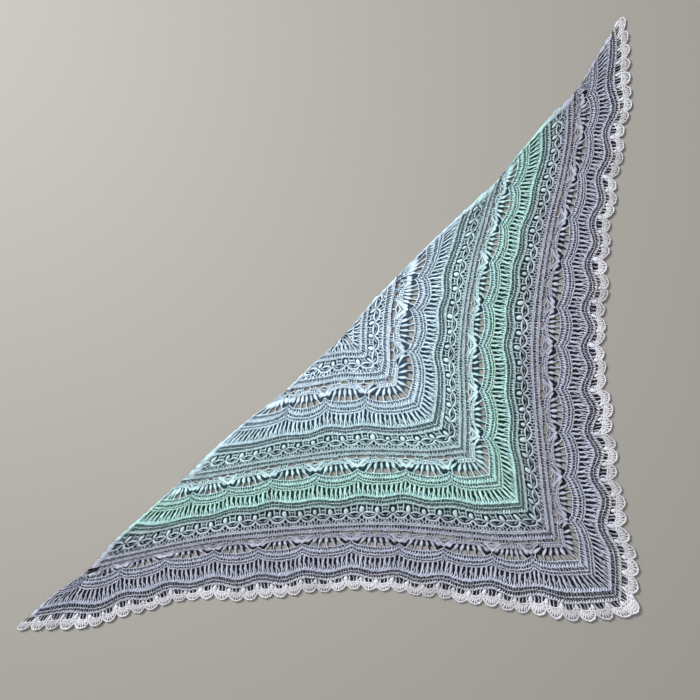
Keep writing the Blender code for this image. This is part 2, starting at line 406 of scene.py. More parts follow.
def ring(centre, size, radius, segments):
    """A closed loop of yarn, in millimetres."""
    thin = 0.25
    select_only()
    bpy.ops.mesh.primitive_torus_add(
        major_segments=segments, minor_segments=4, major_radius=1, minor_radius=thin, location=(0, 0, 0))
    loop = bpy.context.object
    outline = np.array([v.co for v in loop.data.vertices])
    angle = np.arctan2(outline[:, 1], outline[:, 0])
    off = (np.hypot(outline[:, 0], outline[:, 1]) - 1) / thin * radius
    x = centre[0] + np.cos(angle) * (size[0] / 2 + off)
    y = centre[1] + np.sin(angle) * (size[1] / 2 + off)
    z = centre[2] + outline[:, 2] / thin * radius
    loop.data.vertices.foreach_set("co", (np.stack((x, y, z), -1) / 1000).ravel())
    return loop


def tapered(oval, centre, length, narrow):
    """Narrows and flattens the inner end of a puff along y, as the wraps of a petal draw together."""
    full_at, bulge, flattest = 0.7, 1.2, 0.4
    for vertex in oval.data.vertices:
        t = (vertex.co.y * 1000 - centre[1]) / length + 0.5
        factor = narrow + (1 - narrow) * min(max(t / full_at, 0.0), 1.0) ** bulge
        flat = flattest + (1 - flattest) * factor
        vertex.co.x = centre[0] / 1000 + (vertex.co.x - centre[0] / 1000) * factor
        vertex.co.z = centre[2] / 1000 + (vertex.co.z - centre[2] / 1000) * flat
    return oval


def shape(width, depth, *parts):
    """One stitch in a cell of that width and depth in millimetres, as points and faces."""
    select_only(*parts)
    if len(parts) > 1:
        bpy.ops.object.join()
    whole = bpy.context.object
    mesh = whole.data
    points = np.zeros(len(mesh.vertices) * 3)
    mesh.vertices.foreach_get("co", points)
    loops = np.zeros(len(mesh.loops), int)
    mesh.loops.foreach_get("vertex_index", loops)
    sizes = np.array([len(face.vertices) for face in mesh.polygons])
    bpy.data.objects.remove(whole, do_unlink=True)
    points = points.reshape(-1, 3) / (width / 1000, depth / 1000, 1)
    return {"points": points, "loops": loops, "sizes": sizes}


def mirrored(paths, middle):
    """The paths and their mirror images about a middle x."""
    return paths + [[(2 * middle - x, y, z, radius) for x, y, z, radius in path] for path in paths]


def bobble_shape(size, lean):
    """A bobble, the open posts beside it and the pointed shell under them, 34 by 35 mm."""
    posts = mirrored([
        [(9.4 + lean, -0.8, 1.8, 1.5), (10.4, 5.5, 2.8, 1.6), (11.6, 13.0, 2.2, 1.4)],
        [(3.5, 16.4, 2.2, 1.3), (8.5, 14.2, 3.2, 1.6), (17.0, 13.0 + lean, 3.4, 1.8)],
        [(4.5, 16.8, 1.8, 1.0), (10.5, 18.8, 2.6, 1.2), (15.5, 21.5, 2.0, 1.0)],
        [(0.0, 17.0, 3.0, 1.5), (5.0, 22.2, 3.5, 1.9), (11.0, 25.6, 3.5, 1.9), (17.1, 26.2, 3.2, 1.6)],
        [(2.0, 20.0, 2.0, 1.2), (5.4 + lean, 25.0, 3.4, 1.6), (1.6, 30.0, 2.0, 1.2)],
        [(7.6, 24.0, 2.0, 1.2), (10.8 + lean, 28.6, 3.4, 1.6), (7.0, 33.6, 2.0, 1.2)],
        [(0.2, 29.0, 2.0, 1.2), (4.2, 32.6, 3.2, 1.5), (1.2, 36.0, 2.0, 1.2)],
        [(14.4, 28.0, 2.2, 1.3), (16.0, 32.0, 3.0, 1.6), (13.0, 35.8, 2.2, 1.4)],
        [(9.4, 31.8, 2.2, 1.3), (10.6, 34.0, 3.0, 1.4), (8.0, 36.0, 2.2, 1.2)],
    ], 17.0)
    across = [[(10.4, 6.4, 2.0, 1.1), (17.0, 5.4, 2.8, 1.4), (23.6, 6.4, 2.0, 1.1)],
              [(17.0 + lean, 6.0, 2.2, 1.2), (17.0, 13.0, 2.4, 1.2)]]
    bobble = puff((0.0, 9.4, 3.2), (10.4 * size, 13.0 * size, 6.2))
    return shape(34.0, 35.0, bobble, strands(posts + across))


def shell_shape(size, lean):
    """A rounded shell of the edging with the bobble beside it, 34 by 33 mm."""
    posts = mirrored([
        [(7.2, -1.0, 1.8, 1.6), (8.4 + lean, 4.0, 2.8, 1.6), (9.0, 11.0, 2.4, 1.7)],
        [(5.0, 8.0, 2.6, 1.7), (8.6, 12.6, 3.4, 2.0), (17.1, 14.6, 3.4, 1.9)],
    ], 17.0)
    posts.append(
        [(17.0 + 2 * lean, -1.0, 1.8, 1.3), (17.0 - lean, 5.0, 2.4, 1.2), (17.0, 12.0, 2.4, 1.4)])
    ribs = [
        [(17.0 + 7.4 * math.sin(a), 13.0 + 2.6 * math.cos(a), 2.4, 1.5),
         (17.0 + 11.2 * math.sin(a + 0.08 * lean), 14.4 + 8.0 * math.cos(a), 3.7, 2.2),
         (17.0 + 14.4 * math.sin(a + 0.10), 15.4 + 13.4 * math.cos(a), 2.8, 1.8)]
        for a in np.radians((-92, -69, -46, -23, 0, 23, 46, 69, 92))
    ]
    rim = [
        (17.0 + 16.2 * math.sin(a), 15.4 + 16.4 * math.cos(a), 3.0, 2.7 if i % 2 else 1.8)
        for i, a in enumerate(np.radians(np.linspace(-114, 114, 15)))
    ]
    bobble = puff((0.0, 7.2, 3.3), (10.6 * size, 13.4 * size, 6.4))
    return shape(34.0, 33.0, bobble, strands(posts + ribs + [rim]))


def make_shapes():
    """Every stitch shape of the shawl; a list holds kinds that are mixed at random or taken in turn."""
    shapes = {}
    shapes["dense"] = [shape(5.2, 6.0, strands([
        [(2.6 - lean, -0.6, 1.8, 1.1), (2.6, 3.0, 3.3, 1.4), (2.6 + lean, 6.6, 1.8, 1.1)]]))
        for lean in (0.3, 0.9)]
    shapes["dot post"] = shape(5.7, 7.0, strands([
        [(2.9, -0.6, 1.8, 1.3), (2.6, 3.5, 2.8, 1.1), (3.0, 7.6, 1.8, 1.3)]]))
    shapes["chain"] = shape(5.0, 3.2, strands([
        [(-0.1, 0.6, 2.2, 0.9), (1.7, 1.4, 3.4, 1.5), (3.3, 1.8, 3.4, 1.5), (5.1, 2.6, 2.2, 0.9)]]))
    shapes["ridge"] = shape(5.6, 8.0, strands([
        [(0.4, 0.2, 2.2, 1.1), (1.9, 2.8, 4.0, 1.8), (3.7, 5.2, 4.0, 1.8), (5.2, 7.8, 2.2, 1.1)],
        [(-0.4, 5.0, 2.4, 1.1), (1.2, 6.0, 3.2, 1.3), (2.2, 8.0, 2.0, 0.9)]]))
    shapes["tall post"] = [shape(10.6, 24.0, strands(paths)) for paths in (
        [[(5.8, -0.8, 2.0, 2.0), (4.9, 4.0, 3.0, 2.0), (5.9, 9.5, 3.6, 2.7), (5.1, 14.5, 3.2, 2.0),
          (5.8, 19.0, 3.0, 1.8), (5.2, 24.8, 2.2, 2.0)],
         [(7.6, 1.5, 2.6, 1.0), (4.4, 6.5, 4.8, 1.1), (3.4, 11.0, 3.4, 1.0)],
         [(5.0, 10.5, 2.8, 1.4), (2.2, 14.6, 3.0, 1.4), (0.4, 19.0, 2.6, 1.4), (0.2, 24.8, 2.0, 1.5)]],
        [[(3.4, -0.8, 2.0, 1.7), (4.8, 5.0, 3.2, 2.0), (5.4, 11.0, 3.8, 2.6), (6.0, 16.0, 3.0, 1.9),
          (6.4, 24.8, 2.2, 1.9)],
         [(8.8, -0.8, 1.8, 1.3), (6.8, 5.5, 2.6, 1.3), (5.6, 10.5, 3.2, 1.3)],
         [(5.4, 13.0, 2.8, 1.5), (2.4, 18.0, 3.0, 1.5), (0.8, 24.8, 2.0, 1.6)]],
        [[(6.2, -0.8, 2.0, 2.0), (5.2, 6.0, 3.4, 2.4), (4.6, 12.0, 3.6, 2.0), (5.8, 18.0, 3.4, 2.4),
          (5.0, 24.8, 2.2, 2.0)],
         [(4.8, 7.0, 2.8, 1.3), (9.0, 12.5, 2.4, 1.3), (10.4, 17.0, 2.2, 1.2)],
         [(5.6, 15.0, 3.0, 1.4), (1.2, 20.0, 2.6, 1.3), (0.2, 24.8, 2.0, 1.4)]])]
    shapes["petal"] = shape(
        9.2, 20.0, tapered(puff((4.6, 10.5, 3.0), (9.6, 22.0, 5.6)), (4.6, 10.5, 3.0), 22.0, 0.42),
        strands([[(4.3, 3.0, 3.4, 0.5), (3.4, 13.0, 4.8, 0.9), (4.2, 19.0, 3.8, 0.5)],
                 [(4.9, 3.0, 3.4, 0.5), (5.8, 13.0, 4.8, 0.9), (5.0, 19.0, 3.8, 0.5)]]))
    shapes["stem"] = shape(3.4, 14.0, strands([
        [(1.7, -3.5, 2.8, 1.9), (1.9, 3.0, 2.6, 1.5), (1.6, 9.0, 2.5, 1.5), (1.7, 15.0, 2.3, 1.9)]]))
    shapes["eyelet"] = shape(18.0, 8.5, ring((9.0, 4.25, 2.2), (19.4, 9.6), 1.2, 12))
    lace = [
        [(25.0, -0.5, 2.2, 1.6), (25.0, 6.0, 2.8, 1.6)],
        [(1.0, 2.0, 1.8, 1.4), (7.0, 7.6, 2.4, 1.6), (14.0, 9.0, 2.8, 1.4), (20.0, 8.0, 2.8, 1.4),
         (25.0, 5.6, 3.0, 1.5), (30.0, 8.0, 2.8, 1.4), (36.0, 9.0, 2.8, 1.4), (43.0, 7.6, 2.4, 1.6),
         (49.0, 2.0, 1.8, 1.4)],
        [(13.0, 9.5, 2.2, 1.4), (19.0, 13.6, 2.6, 1.5), (25.0, 14.8, 3.0, 1.6), (31.0, 13.6, 2.6, 1.5),
         (37.0, 9.5, 2.2, 1.4)],
    ] + mirrored([
        [(1.0, 7.5, 2.2, 1.6), (7.0, 12.5, 2.8, 1.8), (13.0, 18.0, 2.8, 1.6), (18.0, 25.0, 2.4, 1.4)],
        [(7.0, 8.5, 2.2, 1.6), (13.0, 13.5, 2.8, 1.8), (19.0, 20.0, 3.0, 1.8), (23.6, 30.0, 2.6, 2.0)],
        [(22.0, 15.0, 2.4, 1.3), (22.8, 20.0, 2.6, 1.3), (25.0, 31.0, 2.8, 2.2)],
    ], 25.0)
    shapes["meeting"] = shape(50.0, 32.0, strands(lace))
    shapes["bobbles"] = [bobble_shape(size, lean) for size, lean in ((1.0, 0.0), (1.08, 0.7), (0.9, -0.6))]
    shapes["shell"] = [shell_shape(size, lean) for size, lean in ((1.0, 0.3), (1.1, -0.6), (0.9, 0.8))]
    return shapes


# Yarn pieces

# Unevenness of the stitches: spread of their thickness as a factor, and of their places along a row
SIZE_SPREAD = 0.05
PLACE_SPREAD = 0.0005

# Distance from the ends of a row within which leaning stitches straighten up
STRAIGHT_WITHIN = 0.03

# Lowest point of the yarn above the floor
LOWEST_YARN = 0.0004

# Chain along the top edge: length of a stitch along the edge, its width, how far it is raised, and the
# length of the edge for each unit of row height
EDGE_PITCH = 0.0050
EDGE_WIDTH = 0.0060
EDGE_RAISED = 0.0010
EDGE_FOR_HEIGHT = 1.9


def add_layout(mesh, flat):
    """The flat layout of a mesh, given from 0 to 1 for each corner of its faces."""
    flat = flat * (1 - 2 * UV_BORDER) + UV_BORDER
    mesh.uv_layers.new(name="OFBake").data.foreach_set("uv", flat.ravel())


class Yarn:
    """Collects copies of stitch shapes in one band and makes one mesh of them."""

    def __init__(self, band):
        self.band = band
        self.values, self.tops, self.tints, self.loops, self.sizes = [], [], [], [], []
        self.count = 0

    def lay(self, stitch, cells, raised=0.0):
        """One copy of a stitch shape in each cell."""
        if len(cells) == 0:
            return
        u, v, w = stitch["points"].T
        if self.band.side > 0:
            u = 1 - u
        weights = np.stack(((1 - u) * (1 - v), u * (1 - v), u * v, (1 - u) * v), 0)
        values = np.einsum("ncd,cm->nmd", cells, weights)
        copies, points = len(cells), len(u)
        size = random_numbers.normal(1.0, SIZE_SPREAD, (copies, 1))
        self.values.append(values.reshape(-1, 4))
        self.tops.append((w[None, :] * size + raised).reshape(-1))
        self.tints.append(np.repeat(random_numbers.random(copies), points))
        first = self.count + np.arange(copies)[:, None] * points
        self.loops.append((first + stitch["loops"][None, :]).reshape(-1))
        self.sizes.append(np.tile(stitch["sizes"], copies))
        self.count += copies * points

    def row(self, stitch, inner, outer, pitch, keep=None, lean=0.0, raised=0.0):
        """A row of stitches between two lines, of one shape or of several mixed, leaning by some
        degrees and raised by some metres; keep tells which shares it covers."""
        band = self.band
        shares = band.even_shares(lambda share: (inner(share) + outer(share)) / 2, pitch)
        loose = random_numbers.normal(0, PLACE_SPREAD / pitch, len(shares))
        loose[0] = loose[-1] = 0
        shares = shares + loose * np.gradient(shares)
        depth = float((outer(shares) - inner(shares)).mean())
        shift = -band.side * math.tan(math.radians(lean)) * depth / band.length
        inside = np.clip(np.minimum(shares, 1 - shares) * band.length / STRAIGHT_WITHIN, 0, 1)
        far = np.clip(shares + shift * inside, 0, 1)
        cells = band.cells(inner, outer, shares, far)
        if keep is not None:
            cells = cells[keep((shares[:-1] + shares[1:]) / 2)]
        kinds = stitch if isinstance(stitch, list) else [stitch]
        chosen = random_numbers.integers(0, len(kinds), len(cells))
        for number, kind in enumerate(kinds):
            self.lay(kind, cells[chosen == number], raised)

    def edge(self, stitch, low, high):
        """A chain along the top edge, over the ends of the rows from a low to a high row."""
        count = int(round((high - low) * EDGE_FOR_HEIGHT / EDGE_PITCH))
        heights = np.linspace(low, high, count + 1)
        near, far = (
            np.stack((*self.band.place(heights, share), share, heights), -1)
            for share in (np.ones(count + 1), np.full(count + 1, 1 - EDGE_WIDTH / self.band.length)))
        self.lay(stitch, np.stack((near[:-1], near[1:], far[1:], far[:-1]), 1), EDGE_RAISED)

    def finish(self, name):
        """The collected copies as one object."""
        values = np.concatenate(self.values)
        x, y, share, height = values.T
        w = np.concatenate(self.tops)
        mesh = bpy.data.meshes.new(name)
        mesh.vertices.add(len(x))
        z = np.maximum(w, LOWEST_YARN) + lift(x, y)
        dx, dy = uneven(x, y)
        x, y = x + dx, y + dy
        mesh.vertices.foreach_set("co", np.stack((x, y, z), -1).ravel())
        loops = np.concatenate(self.loops)
        sizes = np.concatenate(self.sizes)
        mesh.loops.add(len(loops))
        mesh.polygons.add(len(sizes))
        mesh.polygons.foreach_set("loop_start", np.concatenate(([0], np.cumsum(sizes)[:-1])))
        mesh.loops.foreach_set("vertex_index", loops)
        mesh.update(calc_edges=True)
        mesh.polygons.foreach_set("use_smooth", np.ones(len(sizes), bool))
        for key, data in (("row_height", height), ("tint", np.concatenate(self.tints)), ("top", w)):
            mesh.attributes.new(key, "FLOAT", "POINT").data.foreach_set("value", data)
        low, high = height.min(), height.max()
        flat = np.stack((np.clip(share, 0, 1), (height - low) / (high - low)), -1)
        add_layout(mesh, flat[loops])
        return add_object(name, mesh)


def fans_of(band):
    """Fans of a band as pairs of shares; the first one is half of the fan around the corner."""
    return list(zip((-band.cusps[0],) + band.cusps[:-1], band.cusps))


# Petals in parts of a fan: steps between them at their inner ends, at their outer ends and at the ends
# of their stems, how far from the middle the outer ends reach, and the same steps in the half fan at
# the corner, where the last petal lies along the base
PETAL_STEPS = (0.094, 0.138, 0.175)
PETAL_REACH = 0.455
CORNER_PETAL_STEPS = (0.125, 0.18, 0.185)
CORNER_LAST_PETAL = 0.95


def lay_petals(yarn, shapes):
    """Fat petals on the base arc of each fan and the stems that tie them to the outer arc."""
    band = yarn.band
    petals, stems = [], []
    for first, last in fans_of(band):
        width = last - first
        if first < 0:
            for n in range(0 if band.side > 0 else 1, 6):
                near, far, end = (last * step * n for step in CORNER_PETAL_STEPS)
                petals.append((near, far if n < 5 else last * CORNER_LAST_PETAL))
                stems.append((far, end))
            continue
        middle = first + width * 0.5
        for n in range(-4, 5):
            near, far, end = (middle + width * step * n for step in PETAL_STEPS)
            far = min(max(far, middle - width * PETAL_REACH), middle + width * PETAL_REACH)
            petals.append((near, far))
            if abs(n) < 3:
                stems.append((far, end))
    for name, pairs, inner, outer, width, raised in (
            ("petal", petals, (15, 20), (36.5, 24), 0.0086, -0.0014),
            ("stem", stems, (36, 24), (49.5, 32), 0.0034, 0.0)):
        near, far = np.array([pair for pair in pairs if max(pair) < PETALS_TO]).T
        yarn.lay(shapes[name], band.narrow_cells(
            band.points(band.line(*inner), near), band.points(band.line(*outer), far), width), raised)


def in_fan(band, ranges, corner=0.0):
    """Test for shares whose place in their fan is in one of the ranges; in the fan at the corner
    spine the last range runs on to the place called corner."""
    def keep(share):
        u = in_fans(band.cusps, share)
        kept = np.any([(u > low) & (u < high) for low, high in ranges], axis=0)
        return kept | ((share < band.cusps[0]) & (u > ranges[-1][0]) & (u < corner))

    return keep


# Half widths of an eyelet and of the lace beside it, in parts of a fan, in whole fans and in the half fan
# at the corner, and where both start and end in millimetres from the start of the repeat
EYELET_HALF = 0.088
CORNER_EYELET_HALF = 0.085
LACE_HALF = 0.25
CORNER_LACE_HALF = 0.14
LACE_FROM = 0.4
EYELET_TO = 10.4
LACE_TO = 32


def lay_eyelets(yarn, shapes):
    """Eyelets over each fan and the lace of chain strands where two fans meet."""
    band = yarn.band
    middle, meeting = [], []
    for first, last in fans_of(band):
        centre = (first + last) / 2
        width = last - first
        if first < 0:
            middle.append((0.0, CORNER_EYELET_HALF * width))
        elif centre < FANS_TO:
            middle.append((centre, EYELET_HALF * width))
        if last < MEETINGS_TO:
            meeting.append((last, (LACE_HALF if first >= 0 else CORNER_LACE_HALF) * width))
    for name, places, deep in (("eyelet", middle, EYELET_TO), ("meeting", meeting, LACE_TO)):
        if not places:
            continue
        centre, half = np.array(places).T
        start = np.maximum(centre - half, 0)
        stop = np.minimum(centre + half, 1)
        top, bottom = band.line(LACE_FROM, LACE_FROM), band.line(deep, deep)
        yarn.lay(shapes[name], np.stack((
            band.points(top, start), band.points(top, stop), band.points(bottom, stop),
            band.points(bottom, start)), 1))


# Rows of a repeat as they are laid: stitch, inner line, outer line, pitch and raised by in metres. A line
# is given in millimetres from the start of the repeat, at the middle of a fan and where two fans meet,
# and is marked True where it has the soft wave
FAN_BASE = (
    ("dot post", (0.2, 0.2), (5.4, 8), 5.6e-3, 0.0),
    ("chain", (5.2, 7.6), (8, 11.6), 5e-3, 0.0),
    ("dense", (7.8, 11.2), (11, 24), 5.2e-3, 0.0),
)
FAN_DOME = (
    ("chain", (10, 28.5), (13, 31.5), 5e-3, 0.0),
    ("ridge", (12.6, 31), (18.4, 35), 5.4e-3, 0.0),
)
ROW_ENDS = (
    ("dense", (12, 20), (30, 27), 5.2e-3, 0.0),
    ("dense", (29, 26), (48.6, 31), 5.2e-3, 0.0),
)
ARCS = (
    ("chain", (48, 30.5), (51, 33.5), 4.9e-3, 0.0),
    ("dot post", (50.8, 33.2), (56, 38.4), 5.2e-3, 0.0002),
    ("ridge", (55.6, 38), (63.8, 44.4), 5.6e-3, 0.0006),
    ("dot post", (63.4, 43.6), (69.6, 50.6), 5.7e-3, 0.0),
    ("chain", (69, 50), (72.4, 54.2), 5e-3, 0.0),
    ("dot post", (71.8, 53.6), (75.8, 58.2), 5.6e-3, 0.0),
    ("chain", (75.2, 57.6), (78.8, 62), 5e-3, 0.0),
    ("tall post", (78.3, 61.6), (102.6, 96.4, True), 10.6e-3, 0.0),
    ("ridge", (102, 95.8, True), (109.6, 103, True), 5.6e-3, 0.0006),
    ("dot post", (109.4, 102.8, True), (115.4, 108.8, True), 5.7e-3, -0.0006),
    ("chain", (115, 108.4, True), (117.8, 111.2, True), 5e-3, -0.0008),
)
BOBBLE_ROWS = (
    ("dot post", (117.6, 111, True), (122.6, 116.2, True), 5.5e-3, -0.0006),
    ("ridge", (122.2, 115.8, True), (129, 123, True), 5.6e-3, 0.0),
    ("bobbles", (128.6, 122.6, True), (163.5, 163.5), 34e-3, 0.0),
    ("chain", (162.8, 162.8), (166, 166), 5e-3, 0.0),
    ("chain", (165.8, 165.8), (169, 169), 5e-3, 0.0004),
    ("dot post", (168.8, 168.8), (174, 174), 5.7e-3, 0.0),
    ("ridge", (173.6, 173.6), (179, 179), 5.6e-3, 0.0),
    ("chain", (178.6, 178.6), (181.6, 181.6), 5e-3, 0.0),
)

# Degrees by which the stitches of a repeat lean along their row
LEAN = {"tall post": 5}

# Rows of the first part: stitch, inner and outer row height, pitch in metres
CENTRE_ROWS = (
    ("chain", 0.001, 0.0045, 5e-3),
    ("tall post", 0.004, 0.019, 9e-3),
    ("chain", 0.0185, 0.0217, 5e-3),
    ("tall post", 0.0213, 0.034, 9e-3),
    ("ridge", 0.0335, 0.040, 5.6e-3),
    ("dot post", 0.0398, 0.0455, 5.6e-3),
    ("ridge", 0.0450, 0.0515, 5.6e-3),
    ("bobbles", 0.0512, 0.084, 34e-3),
    ("chain", 0.0835, 0.0867, 5e-3),
    ("dot post", 0.0865, 0.0915, 5.6e-3),
    ("ridge", 0.0912, 0.0970, 5.6e-3),
    ("chain", 0.0966, 0.0996, 5e-3),
)


def lay_rows(yarn, shapes, rows, keep=None):
    """The rows of a table, over the shares that keep tells."""
    line = yarn.band.line
    for name, inner, outer, pitch, raised in rows:
        yarn.row(shapes[name], line(*inner), line(*outer), pitch, keep, LEAN.get(name, 0), raised)


def lay_repeat(yarn, shapes):
    """All rows of one repeat."""
    band = yarn.band
    lay_rows(yarn, shapes, FAN_BASE, in_fan(band, ((0.21, 0.42), (0.58, 0.79)), 0.89))
    lay_eyelets(yarn, shapes)
    lay_rows(yarn, shapes, FAN_DOME, in_fan(band, ((0.17, 0.83),)))
    lay_petals(yarn, shapes)
    lay_rows(yarn, shapes, ROW_ENDS, lambda share: share > ROW_END_FROM)
    lay_rows(yarn, shapes, ARCS)
    if band.number == 3:
        inner, outer = band.line(117.6, 111, True), band.waved(*EDGE_BASE[band.side])
        yarn.row(shapes["dot post"], inner, outer, 5.4e-3, raised=-0.0006)
        yarn.edge(shapes["chain"], 0.453, 0.572)
        return
    lay_rows(yarn, shapes, BOBBLE_ROWS)
    start, stop = REPEAT_FROM[band.number], REPEAT_FROM[band.number + 1]
    yarn.edge(shapes["chain"], start + 0.001, stop - 0.001)


def lay_centre(yarn, shapes):
    """The first part at the neck."""
    for name, inner, outer, pitch in CENTRE_ROWS:
        yarn.row(shapes[name], yarn.band.waved(inner), yarn.band.waved(outer), pitch)
    yarn.edge(shapes["chain"], 0.002, 0.099)


def shell_shares(band, count):
    """Shares of the evenly spaced ends of the shells, or of finer steps between them."""
    return band.even_shares(band.waved(0.590, 0.005), count=count)


def lay_edging(yarn, shapes, scallops):
    """Bobbles and rounded shells on the outer edge, with one more at the corner on the right wing."""
    band = yarn.band
    base, wave = EDGE_BASE[band.side]
    yarn.row(shapes["ridge"], band.waved(base - 0.0008, wave), band.waved(base + 0.0050, wave), 5.6e-3)
    cells = band.cells(
        band.waved(base + 0.0045, wave), band.waved(*EDGE_TIP[band.side]), shell_shares(band, scallops))
    kinds = shapes["shell"]
    for number, stitch in enumerate(kinds):
        yarn.lay(stitch, cells[number::len(kinds)])
    if band.side > 0:
        near, far = (band.points(band.waved(height), np.array([0.004])) for height in (0.583, 0.6075))
        yarn.lay(kinds[0], band.narrow_cells(near, far, 0.030), 0.0012)


# Ground sheet: a thin dark sheet under the stitches whose colour is painted shade for the gaps between them

# Rows of the ground in a repeat, in millimetres at the middle of a fan and where two fans meet, how
# many of them the third repeat has, and from where on they have the soft wave
GROUND_ROWS = (
    (-0.5, -0.5), (0.5, 0.5), (7.6, 7.2), (10.2, 9), (12, 15), (17, 20), (27, 23), (36, 26), (48.5, 31),
    (56, 39), (64, 44), (72, 54), (79, 62), (90, 78), (103, 97), (110, 103), (116, 109.4), (122, 116),
    (129, 123), (138, 133), (147, 144), (157, 155), (168, 168), (182, 182),
)
THIRD_GROUND_ROWS = 17
SOFT_FROM = 103

# Points along a row of the ground in the first part and in each repeat, steps of the ground in a shell,
# and the distance at which points of neighbouring bands are joined
GROUND_POINTS = {0: 41, 1: 101, 2: 201, 3: 281}
SHELL_STEPS = 8
JOIN_WITHIN = 0.0007

# Holes of the ground as first and last row of the ground, and from and to in parts of a fan: an eyelet
# about the middle of a fan and at the corner, and the lace about the place where two fans meet, which
# is smaller beside the half fan at the corner
EYELET_HOLE = (1, 3, 0.076)
CORNER_EYELET_HOLE = (1, 3, 0.066)
LACE_HOLES = ((1, 2, -0.20, -0.03), (1, 2, 0.03, 0.20), (3, 4, -0.085, 0.085))
CORNER_LACE_SCALE = 0.56

# Gaps between the petals: their rows, the step from gap to gap in parts of a fan, and the rim of cloth
# on each side of a gap
GAP_ROWS = (7, 8)
GAP_STEP, GAP_RIM = 0.175, 0.022
CORNER_GAP_STEP, CORNER_GAP_RIM = 0.09, 0.017

# Edging under the shells: rows before them, and notch and tip of each ring, from the edging's outer edge
EDGING_GROUND = (-0.0015, 0.0060)
SHELL_RINGS = ((-0.0195, -0.0145), (-0.0120, -0.0020))

# Height of the ground sheet of painted shade above the floor
GROUND_HEIGHT = 0.0002

# Row heights of the ground in the first part
CENTRE_GROUND = (0.0, 0.010, 0.020, 0.035, 0.043, 0.051, 0.062, 0.075, 0.088, 0.100)


def ground_holes(band):
    """Open places of a repeat: first and last ground row, and shares from and to."""
    holes = []
    for first, last in fans_of(band):
        width = last - first
        centre = first + 0.5 * width
        if first < 0:
            start, stop, half = CORNER_EYELET_HOLE
            holes.append((start, stop, 0.0, half * width))
            numbers, step, rim = range(5), CORNER_GAP_STEP, CORNER_GAP_RIM
        else:
            if centre < FANS_TO:
                start, stop, half = EYELET_HOLE
                holes.append((start, stop, centre - half * width, centre + half * width))
            numbers, step, rim = range(-2, 2), GAP_STEP, GAP_RIM
        for n in numbers:
            low, high = 0.5 + step * n + rim, 0.5 + step * (n + 1) - rim
            if first + high * width < FANS_TO:
                holes.append((*GAP_ROWS, first + low * width, first + high * width))
        if last < MEETINGS_TO:
            reach = width if first >= 0 else CORNER_LACE_SCALE * width
            for start, stop, low, high in LACE_HOLES:
                holes.append((start, stop, last + low * reach, last + high * reach))
    return holes


def ground_band(band, lines, columns, holes):
    """Points and faces of the ground between the first and the last line."""
    grid = np.tile(columns, (len(lines), 1))
    for first, last, low, high in holes:
        for edge in (low, high):
            j = int(np.abs(columns - edge).argmin())
            if 0 < j < len(columns) - 1:
                grid[first:last + 1, j] = edge
    heights = np.stack([line(share) for line, share in zip(lines, grid)])
    x, y = band.place(heights, grid)
    open_cells = set()
    for first, last, low, high in holes:
        for i in range(first, last):
            middle = (grid[i, :-1] + grid[i, 1:]) / 2
            open_cells.update((i, j) for j in np.nonzero((middle > low) & (middle < high))[0])
    points = np.stack((x, y, heights), -1).reshape(-1, 3)
    faces = []
    wide = len(columns)
    for i in range(len(lines) - 1):
        for j in range(wide - 1):
            if (i, j) not in open_cells:
                corner = i * wide + j
                face = (corner, corner + wide, corner + wide + 1, corner + 1)
                faces.append(face if band.side > 0 else face[::-1])
    return points, faces


def ground_of_wing(bands, scallops):
    """All ground bands of one wing."""
    made = []
    for number, count in GROUND_POINTS.items():
        band = bands[number]
        holes = ground_holes(band) if number else []
        if number:
            lines = [band.line(*row, row[0] >= SOFT_FROM) for row in GROUND_ROWS]
        else:
            lines = [band.waved(height) for height in CENTRE_GROUND]
        if number == 3:
            lines = lines[:THIRD_GROUND_ROWS] + [band.waved(*EDGE_BASE[band.side])]
        made.append(ground_band(band, lines, np.linspace(0, 1, count), holes))
    band = bands[4]
    columns = shell_shares(band, scallops * SHELL_STEPS)
    bulge = np.sqrt(np.clip(1 - np.linspace(-1, 1, SHELL_STEPS + 1)[:-1] ** 2, 0, 1))
    bulge = np.append(np.tile(bulge, scallops), 0)
    base, wave = EDGE_BASE[band.side]
    outer, outer_wave = EDGE_TIP[band.side]

    def scalloped(notch, tip):
        return lambda share: band.waved(outer, outer_wave)(share) + notch + (tip - notch) * np.interp(
            share, columns, bulge)

    lines = [band.waved(base + step, wave) for step in EDGING_GROUND]
    lines += [scalloped(notch, tip) for notch, tip in SHELL_RINGS]
    made.append(ground_band(band, lines, columns, []))
    return made


def build_painted_shade_sheet(bands, scallops, thickness):
    """The thin ground sheet of painted shade under the stitches, cut open where the lace is open."""
    points, faces, count = [], [], 0
    for side, _ in WINGS:
        for band_points, band_faces in ground_of_wing(bands[side], scallops):
            points.append(band_points)
            faces.extend(tuple(i + count for i in face) for face in band_faces)
            count += len(band_points)
    points = np.concatenate(points)
    x, y, height = points.T
    mesh = bpy.data.meshes.new("shawl_painted_shade_sheet")
    mesh.from_pydata(np.stack((x, y, GROUND_HEIGHT + lift(x, y)), -1).tolist(), [], faces)
    mesh.attributes.new("row_height", "FLOAT", "POINT").data.foreach_set("value", height)
    ground = add_object("shawl_painted_shade_sheet", mesh)
    select_only(ground)
    bpy.ops.object.mode_set(mode="EDIT")
    bpy.ops.mesh.select_all(action="SELECT")
    bpy.ops.mesh.remove_doubles(threshold=JOIN_WITHIN)
    bpy.ops.mesh.delete_loose()
    bpy.ops.object.mode_set(mode="OBJECT")
    solid = ground.modifiers.new("thickness", "SOLIDIFY")
    solid.thickness = thickness
    solid.offset = 1.0
    bpy.ops.object.modifier_apply(modifier=solid.name)
    mesh = ground.data
    corner = np.array([mesh.vertices[loop.vertex_index].co[:2] for loop in mesh.loops])
    add_layout(mesh, (corner - corner.min(0)) / (corner.max(0) - corner.min(0)).max())
    return ground


# Materials

# Row height by which the colours of the gradient wander from patch to patch
PATCH_SHIFT = 0.016


